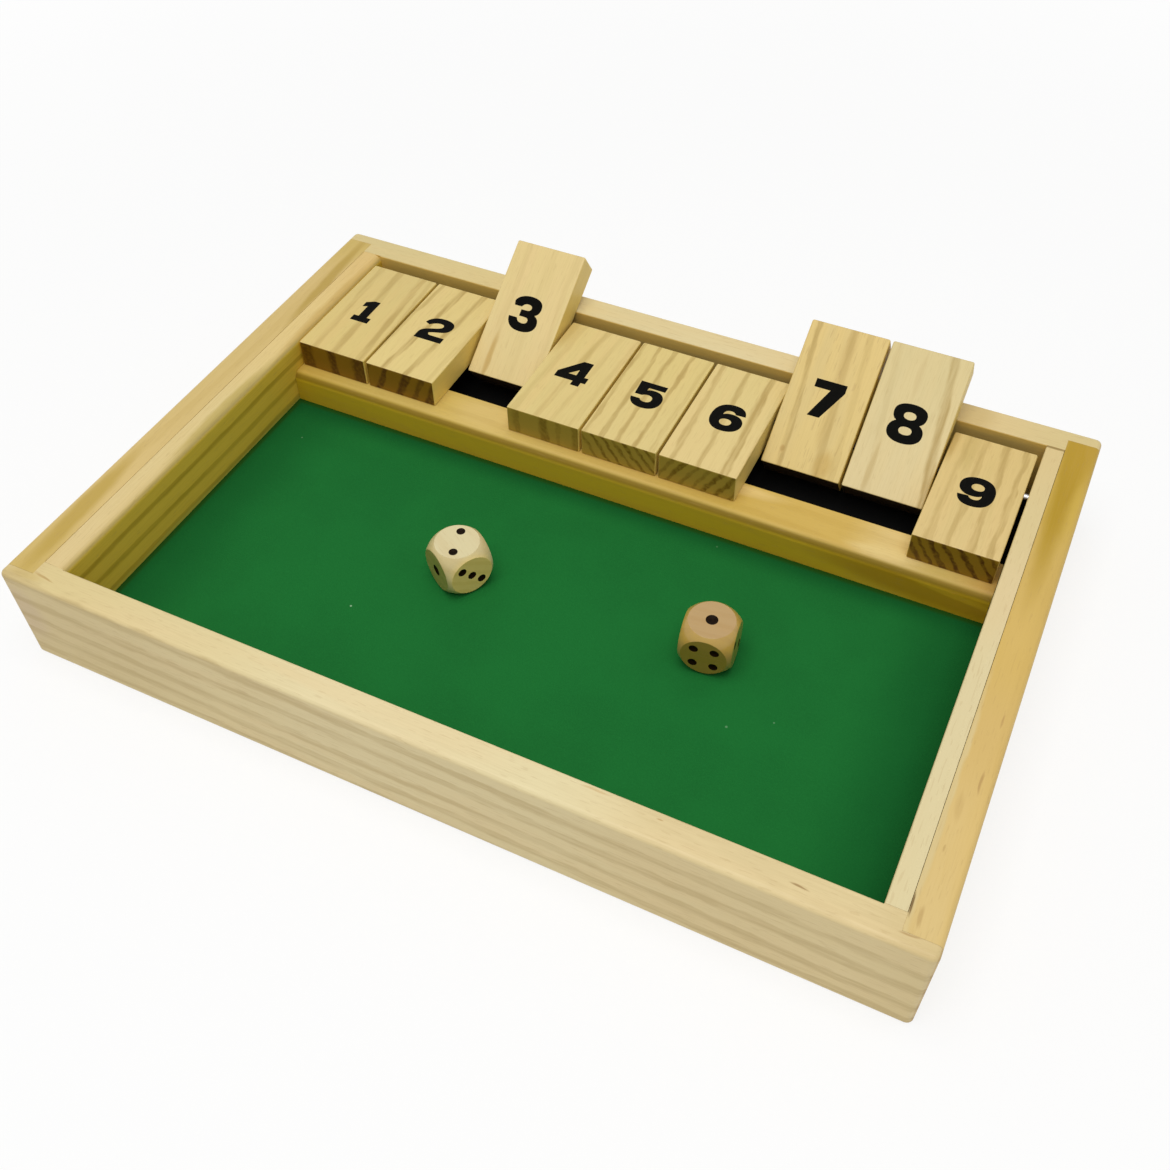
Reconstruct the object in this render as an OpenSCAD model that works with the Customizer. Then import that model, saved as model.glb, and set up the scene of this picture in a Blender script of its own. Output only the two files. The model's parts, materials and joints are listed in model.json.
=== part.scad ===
// Shut the box game: a wooden tray with nine numbered tiles on one steel rod and two dice.
// Tiles 3, 7 and 8 are thrown over and lean on the back rail, the others lie flat.
// Millimetres. X runs left to right, Y front to back, Z up from the table. The origin is
// the centre of the footprint, counted with the raised tiles' reach behind the box.

/* [Box] */
// Height of the walls and rails
box_h = 36; // [33:0.5:48]
// Thickness of the left and right walls
side_t = 10; // [8:0.5:14]
// Thickness of the front rail
front_t = 9; // [8:0.5:14]
// Thickness of the back rail
back_t = 10; // [8:0.5:14]
// How far the walls' ends go into the rabbets at the rails' ends
rabbet = 5; // [3:0.5:6]
// Clearance at the walls' ends in the rabbets
rabbet_gap = 0.05; // [0:0.05:0.2]
// Rounding of the outer top edges
outer_r = 1.6; // [0.5:0.1:2.5]
// Rounding of the rails' inner top edges
inner_r = 0.6; // [0.3:0.1:1.2]

/* [Liners] */
// Thickness of the liner board beside the left wall
left_liner_t = 7.1; // [4:0.1:10]
// Thickness of the liner board beside the right wall
right_liner_t = 5.6; // [4:0.1:10]
// Rounding of the left liner's inner top edge
left_liner_r = 2.5; // [0.5:0.1:3]
// Rounding of the right liner's inner top edge
right_liner_r = 0.6; // [0.3:0.1:3]
// Crack between each liner and its wall
liner_gap = 0.1; // [0.05:0.05:0.3]
// Clearance at each end of a liner, between it and the rail
liner_end_gap = 0.2; // [0.1:0.1:0.3]

/* [Tray] */
// Depth of the playing tray, from the front rail to the divider
tray_d = 114.2; // [90:0.1:150]
// Thickness of the floor panel
panel_t = 3; // [2:0.5:4]
// How deep the grooves in the walls and rails are
groove = 3; // [2:0.5:3.5]
// Clearance above and beside the floor panel in its grooves
panel_gap = 0.1; // [0.05:0.05:0.2]
// Thickness of the green sheet and of the pit's black lining
sheet_t = 0.6; // [0.3:0.1:1]
// Clearance round the edges of both sheets
sheet_gap = 0.2; // [0.1:0.05:0.3]

/* [Divider] */
// Depth of the divider, front to back
divider_d = 15.4; // [10:0.1:18]
// How far the divider stands out in front of the flat tiles
divider_lip = 5.5; // [4:0.1:9]
// Rounding of the divider's front top edge
divider_r = 3.5; // [1:0.1:4]
// Clearance between each end of the divider and the liner
divider_gap = 0.15; // [0.05:0.05:0.3]

/* [Tiles] */
// Width of a tile, along the rod
tile_w = 26.4; // [20:0.1:32]
// Length of a tile, front to back
tile_len = 50.3; // [44:0.1:60]
// Thickness of a tile
tile_t = 10.1; // [8:0.1:11]
// Gap between two tiles
tile_gap = 0.95; // [0.4:0.05:2]
// Play between tile 1 and the left liner
left_play = 0.5; // [0.3:0.1:2]
// Play between tile 9 and the right liner
right_play = 1.4; // [0.3:0.1:3]
// Gap between the back ends of the flat tiles and the back rail
back_play = 4.5; // [4:0.1:8]
// How far the flat tiles' tops lie below the top of the box
tile_drop = 1.1; // [0:0.1:3]
// Rounding of a tile's edges
tile_r = 0.7; // [0.3:0.1:1]

/* [Rod] */
// Diameter of the steel rod
rod_d = 2.2; // [1.8:0.1:3]
// Distance from the rod's axis to a tile's back end
tile_tail = 14.5; // [12:0.1:16]
// Height of the rod's axis above a flat tile's underside
rod_up = 4.7; // [4:0.1:5.5]
// Radial clearance of the rod in the tiles
rod_play = 0.08; // [0.03:0.01:0.1]
// Radial clearance of the rod in the liners
rod_seat = 0.02; // [0.01:0.01:0.05]
// Clearance between each end of the rod and the wall
rod_end_gap = 0.1; // [0.05:0.05:0.3]
// Clearance under a tile's back end as it swings through the pit
swing_gap = 0.65; // [0.4:0.05:1.5]
// Clearance between a raised tile and the back rail that it leans on
lean_gap = 0.04; // [0.02:0.01:0.1]

/* [Dice] */
// Width of a die across two opposite faces
die_w = 16; // [14:0.5:19]
// Radius of the ball that rounds a die's corners and edges
die_ball_r = 10.6; // [10.2:0.1:11.2]
// Distance of the pips from the middle lines of a face
pip_step = 3.1; // [2.8:0.1:3.4]
// Radius of a pip
pip_r = 1.4; // [1:0.1:1.5]
// Radius of the larger pip on the face of one
ace_r = 1.85; // [1.2:0.05:2.2]
// Depth of a pip
pip_depth = 0.5; // [0.2:0.1:0.8]
// Cream die: distance of its centre from the left liner
cream_x = 95.1; // [20:0.1:110]
// Cream die: distance of its centre from the front rail
cream_y = 63.9; // [20:0.1:70]
// Cream die: turn on the floor of the tray, in degrees
cream_turn = -31; // [-45:1:45]
// Tan die: distance of its centre from the left liner
tan_x = 176.7; // [130:0.1:180]
// Tan die: distance of its centre from the front rail
tan_y = 68.1; // [20:0.1:70]
// Tan die: turn on the floor of the tray, in degrees
tan_turn = 7; // [-45:1:45]

/* [Hidden] */
$fn = 64;

tile_count = 9;
raised_tiles = [3, 7, 8];
// how far a cutter runs past the face that it opens
past = 1;

// widths: the box is built round the row of tiles
tile_pitch = tile_w + tile_gap;
row_w = tile_count * tile_pitch - tile_gap;
box_w = 2 * (side_t + liner_gap) + left_liner_t + left_play + row_w + right_play + right_liner_t;
left_x = -box_w / 2;
left_wall_in = left_x + side_t;
right_wall_in = -left_x - side_t;
left_liner_in = left_wall_in + liner_gap + left_liner_t;
right_liner_in = right_wall_in - liner_gap - right_liner_t;
row_x = left_liner_in + left_play;

// depths, counted from the box's front face
tile_nose = tile_len - tile_tail;
pit_back = front_t + tray_d + divider_lip + tile_len + back_play;
box_d = pit_back + back_t;
rod_in = pit_back - back_play - tile_tail;

// heights
tile_over = tile_t - rod_up;
rod_z = box_h - tile_drop - tile_over;
divider_top = rod_z - rod_up;
tail_reach = sqrt(tile_tail * tile_tail + max(tile_over, rod_up) * max(tile_over, rod_up));
floor_z = rod_z - tail_reach - swing_gap;
panel_top = floor_z - sheet_t;
panel_z = panel_top - panel_t;

// lean of a raised tile: its printed top comes to rest on the rounded edge of the back rail
edge_dy = pit_back + inner_r - rod_in;
edge_dz = box_h - inner_r - rod_z;
edge_far = sqrt(edge_dy * edge_dy + edge_dz * edge_dz);
lean = atan2(edge_dz, edge_dy) + asin((tile_over + inner_r + lean_gap) / edge_far);
throw_deg = 180 - lean;

// the footprint, with the raised tiles' reach
raised_back = rod_in + (tile_nose - tile_r) * cos(lean) + (tile_over - tile_r) * sin(lean) + tile_r;
front_y = -max(box_d, raised_back) / 2;
tray_front = front_y + front_t;
divider_y = tray_front + tray_d;
pit_back_y = front_y + pit_back;
rod_y = front_y + rod_in;

// faces of a die in the order top, bottom, front, back, left, right
cream_faces = [2, 5, 1, 6, 4, 3];
tan_faces = [1, 6, 4, 3, 5, 2];

// colours as the photograph shows them
pale_wood = [0.87, 0.79, 0.62];
front_wood = [0.84, 0.77, 0.66];
yellow_wood = [0.80, 0.68, 0.42];
tile_woods = [
    [0.85, 0.77, 0.53], [0.86, 0.77, 0.52], [0.88, 0.78, 0.58],
    [0.87, 0.78, 0.56], [0.84, 0.76, 0.53], [0.86, 0.78, 0.55],
    [0.80, 0.70, 0.44], [0.87, 0.80, 0.62], [0.86, 0.79, 0.55]];
felt_green = [0.12, 0.42, 0.20];
lining_black = [0.03, 0.03, 0.03];
rod_steel = [0.78, 0.79, 0.80];

// What is cut from a square corner at the origin to round it by r
module corner_waste(r) {
    difference() {
        translate([-past, -past]) square(r + past);
        translate([r, r]) circle(r);
    }
}

// Upright board section: near_r rounds the top edge over 0, far_r the other top edge
module board_section(thick, high, near_r, far_r) {
    difference() {
        square([thick, high]);
        translate([0, high]) mirror([0, 1]) corner_waste(near_r);
        translate([thick, high]) mirror([1, 0]) mirror([0, 1]) corner_waste(far_r);
    }
}

// Section with all four corners rounded by the same radius, its low corner at the origin
module rounded_section(wide, high, r) {
    difference() {
        square([wide, high]);
        corner_waste(r);
        translate([wide, 0]) mirror([1, 0]) corner_waste(r);
        translate([0, high]) mirror([0, 1]) corner_waste(r);
        translate([wide, high]) mirror([1, 0]) mirror([0, 1]) corner_waste(r);
    }
}

// Extrudes a section drawn as (Y, Z) along X
module along_x(length) {
    rotate([90, 0, 90]) linear_extrude(length) children();
}

// Extrudes a section drawn as (X, Z) along Y
module along_y(length) {
    translate([0, length, 0]) rotate([90, 0, 0]) linear_extrude(length) children();
}

// Rail drawn with its inner face at y = 0 and its outer face at y = -thick
module rail(thick) {
    difference() {
        translate([left_x, -thick, 0]) along_x(box_w) board_section(thick, box_h, outer_r, inner_r);
        for (end = [-1, 1])
            translate([end * (box_w - side_t + past) / 2, (past - rabbet) / 2, box_h / 2])
                cube([side_t + past, rabbet + past, box_h + 2 * past], center = true);
        translate([left_wall_in - past, -groove, panel_z])
            cube([box_w - 2 * side_t + 2 * past, groove + past, panel_t + panel_gap]);
    }
}

module front_rail() {
    color(front_wood) translate([0, tray_front, 0]) rail(front_t);
}

module back_rail() {
    color(pale_wood) translate([0, pit_back_y, 0]) mirror([0, 1, 0]) rail(back_t);
}

// Side wall drawn with its outer face at x = 0 and its inner face at x = side_t
module side_wall() {
    wall_front = tray_front - rabbet + rabbet_gap;
    wall_d = pit_back_y + rabbet - rabbet_gap - wall_front;
    translate([0, wall_front, 0]) difference() {
        along_y(wall_d) board_section(side_t, box_h, outer_r, inner_r);
        translate([side_t - groove, -past, panel_z])
            cube([groove + past, wall_d + 2 * past, panel_t + panel_gap]);
    }
}

module left_wall() {
    color(yellow_wood) translate([left_x, 0, 0]) side_wall();
}

module right_wall() {
    color(yellow_wood) translate([-left_x, 0, 0]) mirror([1, 0, 0]) side_wall();
}

// Liner drawn from x = 0 at its wall to x = thick at the tiles, with the rod's hole
module liner(thick, top_r) {
    liner_d = pit_back_y - tray_front - 2 * liner_end_gap;
    difference() {
        translate([0, tray_front + liner_end_gap, panel_top])
            along_y(liner_d) board_section(thick, box_h - panel_top, inner_r, top_r);
        translate([-past, rod_y, rod_z]) rotate([0, 90, 0])
            cylinder(h = thick + 2 * past, r = rod_d / 2 + rod_seat);
    }
}

module left_liner() {
    color(pale_wood) translate([left_wall_in + liner_gap, 0, 0]) liner(left_liner_t, left_liner_r);
}

module right_liner() {
    color(pale_wood) translate([right_wall_in - liner_gap, 0, 0]) mirror([1, 0, 0])
        liner(right_liner_t, right_liner_r);
}

module divider_rail() {
    divider_w = right_liner_in - left_liner_in - 2 * divider_gap;
    color(yellow_wood) translate([left_liner_in + divider_gap, divider_y, panel_top])
        along_x(divider_w) board_section(divider_d, divider_top - panel_top, divider_r, inner_r);
}

module base_panel() {
    reach = groove - panel_gap;
    color(yellow_wood) translate([left_wall_in - reach, tray_front - reach, panel_z])
        cube([box_w - 2 * side_t + 2 * reach, pit_back - front_t + 2 * reach, panel_t]);
}

// Sheet glued on the panel between the liners, from one depth to another
module sheet(from_y, to_y) {
    translate([left_liner_in + sheet_gap, from_y + sheet_gap, panel_top])
        cube([right_liner_in - left_liner_in - 2 * sheet_gap, to_y - from_y - 2 * sheet_gap, sheet_t]);
}

module play_surface() {
    color(felt_green) sheet(tray_front, divider_y);
}

module pit_lining() {
    color(lining_black) sheet(divider_y + divider_d, pit_back_y);
}

module pivot_rod() {
    rod_x = left_wall_in + rod_end_gap;
    color(rod_steel) translate([rod_x, rod_y, rod_z]) rotate([0, 90, 0])
        cylinder(h = right_wall_in - rod_end_gap - rod_x, r = rod_d / 2);
}

// Flat tile with the rod's axis along y = 0, z = 0 and its left side at x = 0
module tile_blank() {
    difference() {
        intersection() {
            translate([0, -tile_nose, -rod_up]) along_x(tile_w) rounded_section(tile_len, tile_t, tile_r);
            translate([0, -tile_nose, -rod_up]) along_y(tile_len) rounded_section(tile_w, tile_t, tile_r);
        }
        translate([-past, 0, 0]) rotate([0, 90, 0])
            cylinder(h = tile_w + 2 * past, r = rod_d / 2 + rod_play);
    }
}

module tile(number) {
    raised = len(search(number, raised_tiles)) > 0;
    color(tile_woods[number - 1]) translate([row_x + (number - 1) * tile_pitch, rod_y, rod_z])
        rotate([raised ? -throw_deg : 0, 0, 0]) tile_blank();
}

// Pips of a face as steps from its centre, with the diagonals from upper left to lower right
function pips(number) = concat(
    number % 2 == 1 ? [[0, 0]] : [],
    number > 1 ? [[-1, 1], [1, -1]] : [],
    number > 3 ? [[1, 1], [-1, -1]] : [],
    number > 5 ? [[-1, 0], [1, 0]] : []);

// Hollow of a pip in the face z = 0, as part of a ball
module pip_hollow(r) {
    ball_r = (r * r + pip_depth * pip_depth) / (2 * pip_depth);
    translate([0, 0, ball_r - pip_depth]) sphere(ball_r);
}

module pip_face(number) {
    translate([0, 0, die_w / 2])
        for (spot = pips(number))
            translate(pip_step * spot) pip_hollow(number == 1 ? ace_r : pip_r);
}

// Die with its centre at the origin; the faces come as top, bottom, front, back, left, right
module die_blank(faces) {
    turns = [[0, 0, 0], [180, 0, 0], [90, 0, 0], [90, 0, 180], [90, 0, -90], [90, 0, 90]];
    difference() {
        intersection() {
            cube(die_w, center = true);
            sphere(die_ball_r);
        }
        for (i = [0:5]) rotate(turns[i]) pip_face(faces[i]);
    }
}

module cream_die() {
    color([0.90, 0.85, 0.70])
        translate([left_liner_in + cream_x, tray_front + cream_y, floor_z + die_w / 2])
            rotate([0, 0, cream_turn]) die_blank(cream_faces);
}

module tan_die() {
    color([0.80, 0.66, 0.42])
        translate([left_liner_in + tan_x, tray_front + tan_y, floor_z + die_w / 2])
            rotate([0, 0, tan_turn]) die_blank(tan_faces);
}

front_rail();
back_rail();
left_wall();
right_wall();
left_liner();
right_liner();
divider_rail();
base_panel();
play_surface();
pit_lining();
pivot_rod();
for (number = [1:tile_count])
    tile(number);
cream_die();
tan_die();
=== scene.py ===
import json
import math

import bmesh
import bpy
from mathutils import Matrix, Vector


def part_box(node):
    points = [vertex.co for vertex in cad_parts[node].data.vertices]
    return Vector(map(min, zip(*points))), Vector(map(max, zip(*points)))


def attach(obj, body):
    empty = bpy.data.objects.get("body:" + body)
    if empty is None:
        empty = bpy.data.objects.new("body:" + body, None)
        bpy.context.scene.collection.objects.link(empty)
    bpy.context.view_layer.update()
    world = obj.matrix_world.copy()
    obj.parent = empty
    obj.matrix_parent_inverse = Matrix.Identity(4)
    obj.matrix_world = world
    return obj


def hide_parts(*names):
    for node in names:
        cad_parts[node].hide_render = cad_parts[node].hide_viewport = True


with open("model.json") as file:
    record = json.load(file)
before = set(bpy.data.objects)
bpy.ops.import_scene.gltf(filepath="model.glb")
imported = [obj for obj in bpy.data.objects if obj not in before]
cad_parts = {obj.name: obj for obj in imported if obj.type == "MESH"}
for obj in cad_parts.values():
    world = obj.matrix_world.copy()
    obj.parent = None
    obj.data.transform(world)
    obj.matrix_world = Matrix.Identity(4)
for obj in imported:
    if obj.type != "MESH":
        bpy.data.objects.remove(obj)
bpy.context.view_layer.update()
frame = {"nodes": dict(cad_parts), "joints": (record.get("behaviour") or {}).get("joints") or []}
mm = 0.001
print("frame:", len(frame["nodes"]), "parts")


# shader helpers

def rgb(red, green, blue):
    # a colour as a paint program shows it, 0 to 255
    parts = [part / 255 for part in (red, green, blue)]
    return (*[p / 12.92 if p <= 0.04045 else ((p + 0.055) / 1.055) ** 2.4 for p in parts], 1.0)


white = (1, 1, 1, 1)


class Wire:
    # one socket of a node tree, so that shader maths reads as plain Python
    def __init__(self, recipe, socket):
        self.recipe, self.socket = recipe, socket

    def math(self, operation, *others):
        return maths(self.recipe, operation, self, *others)

    def __add__(self, other):
        return maths(self.recipe, "ADD", self, other)

    def __sub__(self, other):
        return maths(self.recipe, "SUBTRACT", self, other)

    def __rsub__(self, other):
        return maths(self.recipe, "SUBTRACT", other, self)

    def __mul__(self, other):
        return maths(self.recipe, "MULTIPLY", self, other)

    def __truediv__(self, other):
        return maths(self.recipe, "DIVIDE", self, other)

    __radd__ = __add__
    __rmul__ = __mul__


def maths(recipe, operation, *values):
    return recipe.node("Math", {"operation": operation}, dict(enumerate(values)))


class Recipe:
    # a material's or the world's nodes, added one by one
    def __init__(self, owner):
        self.owner = owner
        owner.use_nodes = True
        self.tree = owner.node_tree
        self.tree.nodes.clear()

    def node(self, kind, settings=None, inputs=None, output=0):
        made = self.tree.nodes.new("ShaderNode" + kind)
        for name, value in (settings or {}).items():
            if name == "stops":
                self.fillRamp(made.color_ramp, value)
            else:
                setattr(made, name, value)
        for name, value in (inputs or {}).items():
            if isinstance(value, Wire):
                self.tree.links.new(value.socket, made.inputs[name])
            else:
                made.inputs[name].default_value = value
        return None if output is None else Wire(self, made.outputs[output])

    def fillRamp(self, ramp, stops):
        ramp.interpolation = "EASE"
        while len(ramp.elements) < len(stops):
            ramp.elements.new(1.0)
        for element, (position, colour) in zip(ramp.elements, stops):
            element.position = position
            element.color = colour if isinstance(colour, tuple) else (colour, colour, colour, 1.0)

    def noise(self, place, sizes, seed, detail=2.0):
        # soft noise about 0.5, with cells as large as sizes
        scale = tuple(1 / size for size in sizes)
        moved = self.node("Mapping", {}, {"Vector": place, "Location": (7.3 * seed, 3.1 * seed, 5.7 * seed),
                                          "Scale": scale})
        return self.node("TexNoise", {}, {"Vector": moved, "Scale": 1.0, "Detail": detail, "Roughness": 0.5})

    def steps(self, value, low, high):
        # 0 below low, 1 above high, smooth between
        return self.node("MapRange", {"interpolation_type": "SMOOTHSTEP"},
                         {"Value": value, "From Min": low, "From Max": high})

    def mix(self, share, first, second):
        return self.node("Mix", {"data_type": "RGBA"}, {0: share, 6: first, 7: second}, 2)

    def bump(self, height, distance, strength):
        return self.node("Bump", {}, {"Height": height, "Distance": distance, "Strength": strength})

    def objectPlace(self):
        # object coordinates in millimetres
        metres = self.node("TexCoord", output="Object")
        return self.node("Mapping", {}, {"Vector": metres, "Scale": (1 / mm, 1 / mm, 1 / mm)})

    def split(self, vector):
        outputs = self.node("SeparateXYZ", {}, {0: vector}).socket.node.outputs
        return [Wire(self, part) for part in outputs]

    def alignment(self, direction, axis):
        # 1 where the direction runs along the axis, -1 where it runs against it
        return self.node("VectorMath", {"operation": "DOT_PRODUCT"}, {0: direction, 1: axis}, "Value")

    def finish(self, surface):
        self.node("OutputMaterial", {}, {"Surface": surface}, None)
        return self.owner


def newRecipe(name):
    return Recipe(bpy.data.materials.new(name))


def boardPlace(paint, board):
    # millimetres along the board's own axes: x along the grain, y across it, z up
    place = paint.node("Mapping", {"vector_type": "TEXTURE"},
                       {"Vector": paint.node("TexCoord", output="Object"), "Location": board["start"],
                        "Rotation": board["turn"].to_euler(), "Scale": (mm, mm, mm)})
    return place, paint.split(place)


# wood

woodBasics = {
    "tones": [(0.0, (226, 208, 156))],  # early wood along the board, 0 to 1
    "late": (186, 160, 96), "depth": 0.7,  # late wood and how strongly it shows
    "warm": (226, 200, 142), "warmShare": 0.3,
    "rings": [(4, 0.8, 3), (10, 0.7, 3), (16, 0.8, 3), (23, 0.6, 3), (30, 0.8, 3)],  # place, strength, width
    "tilt": 75, "drift": 0.0,  # angle of the rings in the end grain, and their slope along the board
    "wave": 1.2, "wander": 0.35,  # slow and quick waviness of the rings, in millimetres
    # painted light: the side colour stands in for shade and coloured bounce light on faces that don't look
    # up, or only on those that look along (1) or against (-1) the board's y
    "side": (205, 176, 104), "sideShadeShare": 0.0, "sideShadeFacing": (0.2, 0.8), "sideShadeSign": 0,
    "nose": None, "noseShadeFacing": (0.7, 0.97),  # colour and share of painted light and shade on a rounded edge between top and side
    "end": (200, 170, 108), "endLate": (164, 130, 72), "endRings": None, "tailShade": None,  # end grain; the colour for a tile's back end is a painted shade
    "broken": 0.35, "fibre": 0.12, "pores": 0.15, "pore": (172, 138, 84),
    "marks": [],  # axis across, along, across, half length, half width, slope, colour, share
    "rough": 0.46, "coat": 0.0, "coatRough": 0.16, "seed": 1,
}


def ringStops(rings, low, high):
    # each ring is a band with soft edges, sharper on its far side
    stops = []
    for place, strength, width in sorted(rings):
        for spot, value in ((-0.55, 0.0), (-0.15, strength), (0.25, strength), (0.5, 0.0)):
            position = (place + spot * width - low) / (high - low)
            if stops and position <= stops[-1][0]:
                position = stops[-1][0] + 0.001
            stops.append((position, value))
    return stops


ringMargin = 8  # how far the ramp reaches past the outer rings, in millimetres


def ringBands(paint, ring, rings):
    places = [place for place, strength, width in rings]
    low, high = min(places) - ringMargin, max(places) + ringMargin
    stops = ringStops(rings, low, high)
    # times one turns the ramp's grey into a number
    return paint.node("ValToRGB", {"stops": stops}, {0: (ring - low) / (high - low)}) * 1.0


def markShare(paint, x, across, mark):
    # a soft long patch that follows the grain
    along, middle, length, width, slope = mark
    reach, side = x - along, across - middle
    side = (side - reach * slope) / width
    reach = reach / length
    return 1 - paint.steps((reach * reach + side * side).math("SQRT"), 0.35, 1.0)


# cell sizes of the noises in millimetres: along the grain, across it and up
woodNoise = {"wave": (75, 14, 14), "wander": (9, 3, 3), "streak": (20, 1.3, 1.3), "warm": (60, 6, 6),
             "fibre": (11, 0.35, 0.35), "pore": (4, 0.45, 0.45)}
# where each effect begins to show, and where it shows in full
woodSteps = {"streak": (0.3, 0.65), "warm": (0.4, 0.68), "fibre": (0.4, 0.75), "pore": (0.69, 0.76),
             "top": (0.3, 0.7), "nose": (0.1, 0.5), "tailShade": (0.3, 0.6), "end": (0.6, 0.9)}
noiseReach = 4  # a noise strays from its middle by about a quarter


def woodMaterial(name, look, board):
    look = {**woodBasics, **look}
    seed, tilt = look["seed"], math.radians(look["tilt"])
    paint = newRecipe(name)
    place, (x, y, z) = boardPlace(paint, board)
    axes = board["turn"].col
    wave = paint.noise(place, woodNoise["wave"], seed, 1) - 0.5
    wander = paint.noise(place, woodNoise["wander"], seed + 1, 2) - 0.5
    ring = y * math.cos(tilt) + z * math.sin(tilt) + x * look["drift"]
    ring = ring + wave * (noiseReach * look["wave"]) + wander * (noiseReach * look["wander"])
    late = ringBands(paint, ring, look["rings"])
    streak = paint.steps(paint.noise(place, woodNoise["streak"], seed + 2, 3), *woodSteps["streak"])
    late = late * (streak * look["broken"] + (1 - look["broken"]))
    if len(look["tones"]) > 1:
        stops = [(spot, rgb(*tone)) for spot, tone in look["tones"]]
        tone = paint.node("ValToRGB", {"stops": stops}, {0: x / board["size"][0]})
    else:
        tone = rgb(*look["tones"][0][1])
    warm = paint.steps(paint.noise(place, woodNoise["warm"], seed + 3, 1), *woodSteps["warm"])
    tone = paint.mix(warm * look["warmShare"], tone, rgb(*look["warm"]))
    normal = paint.node("TexCoord", output="Normal")
    upward = paint.alignment(normal, axes[2]).math("ABSOLUTE")
    # painted light: the side colour stands in for the shade and bounce light on faces that don't look up
    if look["sideShadeShare"]:
        if look["sideShadeSign"]:
            outward = paint.alignment(normal, axes[1])
            side = paint.steps(outward * look["sideShadeSign"], *look["sideShadeFacing"])
        else:
            side = 1 - paint.steps(upward, *look["sideShadeFacing"])
        tone = paint.mix(side * look["sideShadeShare"], tone, rgb(*look["side"]))
    onTop = paint.steps(upward, *woodSteps["top"])
    for axis, *mark, colour, share in look["marks"]:
        across = (y if axis == "y" else z) + wander * 1.5
        facing = onTop if axis == "y" else 1 - onTop
        tone = paint.mix(markShare(paint, x, across, mark) * facing * share, tone, rgb(*colour))
    # painted light and shade on the rounded edge between top and side
    if look["nose"]:
        colour, share = look["nose"]
        nose = paint.steps(upward, *woodSteps["nose"]) * (1 - paint.steps(upward, *look["noseShadeFacing"]))
        tone = paint.mix(nose * share, tone, rgb(*colour))
    tone = paint.mix(late * look["depth"], tone, rgb(*look["late"]))
    fibre = paint.noise(place, woodNoise["fibre"], seed + 4, 2)
    tone = paint.mix(paint.steps(fibre, *woodSteps["fibre"]) * look["fibre"], tone, rgb(*look["late"]))
    pore = paint.steps(paint.noise(place, woodNoise["pore"], seed + 5, 0), *woodSteps["pore"])
    tone = paint.mix(pore * look["pores"], tone, rgb(*look["pore"]))
    forward = paint.alignment(normal, axes[0])
    if look["endRings"]:
        endGrain = ringBands(paint, ring, look["endRings"]) * (streak * 0.5 + 0.5)
    else:
        endGrain = late
    endGrain = paint.mix(endGrain, rgb(*look["end"]), rgb(*look["endLate"]))
    # painted shade: a dark colour on the back end of a tile
    if look["tailShade"]:
        endGrain = paint.mix(paint.steps(forward * -1.0, *woodSteps["tailShade"]), endGrain, rgb(*look["tailShade"]))
    tone = paint.mix(paint.steps(forward.math("ABSOLUTE"), *woodSteps["end"]), tone, endGrain)
    height = fibre * 0.5 + late * 0.5 - pore * 0.6
    shader = paint.node("BsdfPrincipled", {}, {
        "Base Color": tone, "Roughness": late * 0.1 + fibre * 0.12 + (look["rough"] - 0.06),
        "Normal": paint.bump(height, 0.00012, 0.3), "Specular IOR Level": 0.3,
        "Coat Weight": look["coat"], "Coat Roughness": look["coatRough"]})
    return paint.finish(shader)


# modelling helpers

# within these distances in metres two places, two vertices, or a vertex and a plane count as one
tolerance = {"place": 0.00002, "vertex": 0.000001, "plane": 0.0000001}
sharpAngle = 50  # degrees


def boxMesh(low, high):
    shape = bmesh.new()
    bmesh.ops.create_cube(shape, size=1.0)
    low, high = Vector(low), Vector(high)
    bmesh.ops.scale(shape, vec=high - low, verts=shape.verts)
    bmesh.ops.translate(shape, vec=(low + high) / 2, verts=shape.verts)
    return shape


def roundEdges(shape, radius, segments, wanted):
    # radius in millimetres; wanted gets an edge's middle and its direction
    edges = []
    for edge in shape.edges:
        first, second = (vert.co for vert in edge.verts)
        if wanted((first + second) / 2, (second - first).normalized()):
            edges.append(edge)
    bmesh.ops.bevel(shape, geom=edges, offset=radius * mm, offset_type="OFFSET", affect="EDGES",
                    segments=segments, profile=0.5, material=-1, clamp_overlap=True)


def near(first, second):
    return abs(first - second) < tolerance["place"]


def runs(way, axis):
    # whether an edge runs along that axis
    return abs(getattr(way, axis)) > 0.9


def level(way):
    return abs(way.z) < 0.1


def cutPlane(shape, spot, normal, clear=False):
    # cuts every face along a plane, and may clear what lies beyond it
    return bmesh.ops.bisect_plane(shape, geom=shape.verts[:] + shape.edges[:] + shape.faces[:],
                                  dist=tolerance["plane"], plane_co=spot, plane_no=normal, clear_outer=clear)


def putInScene(name, data):
    made = bpy.data.objects.new(name, data)
    bpy.context.scene.collection.objects.link(made)
    return made


def addObject(name, shape, *materials):
    mesh = bpy.data.meshes.new(name)
    bmesh.ops.remove_doubles(shape, verts=shape.verts, dist=tolerance["vertex"])
    bmesh.ops.recalc_face_normals(shape, faces=shape.faces)
    shape.to_mesh(mesh)
    shape.free()
    for material in materials:
        mesh.materials.append(material)
    return putInScene(name, mesh)


def finalMesh(piece):
    # the mesh with all modifiers applied
    bpy.context.view_layer.update()
    return bpy.data.meshes.new_from_object(piece.evaluated_get(bpy.context.evaluated_depsgraph_get()))


def carve(piece, cutters):
    for cutter in cutters:
        cut = piece.modifiers.new("cut", "BOOLEAN")
        cut.operation, cut.solver, cut.material_mode, cut.object = "DIFFERENCE", "EXACT", "TRANSFER", cutter
    final = finalMesh(piece)
    piece.modifiers.clear()
    piece.data = final
    for cutter in cutters:
        bpy.data.objects.remove(cutter)


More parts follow.
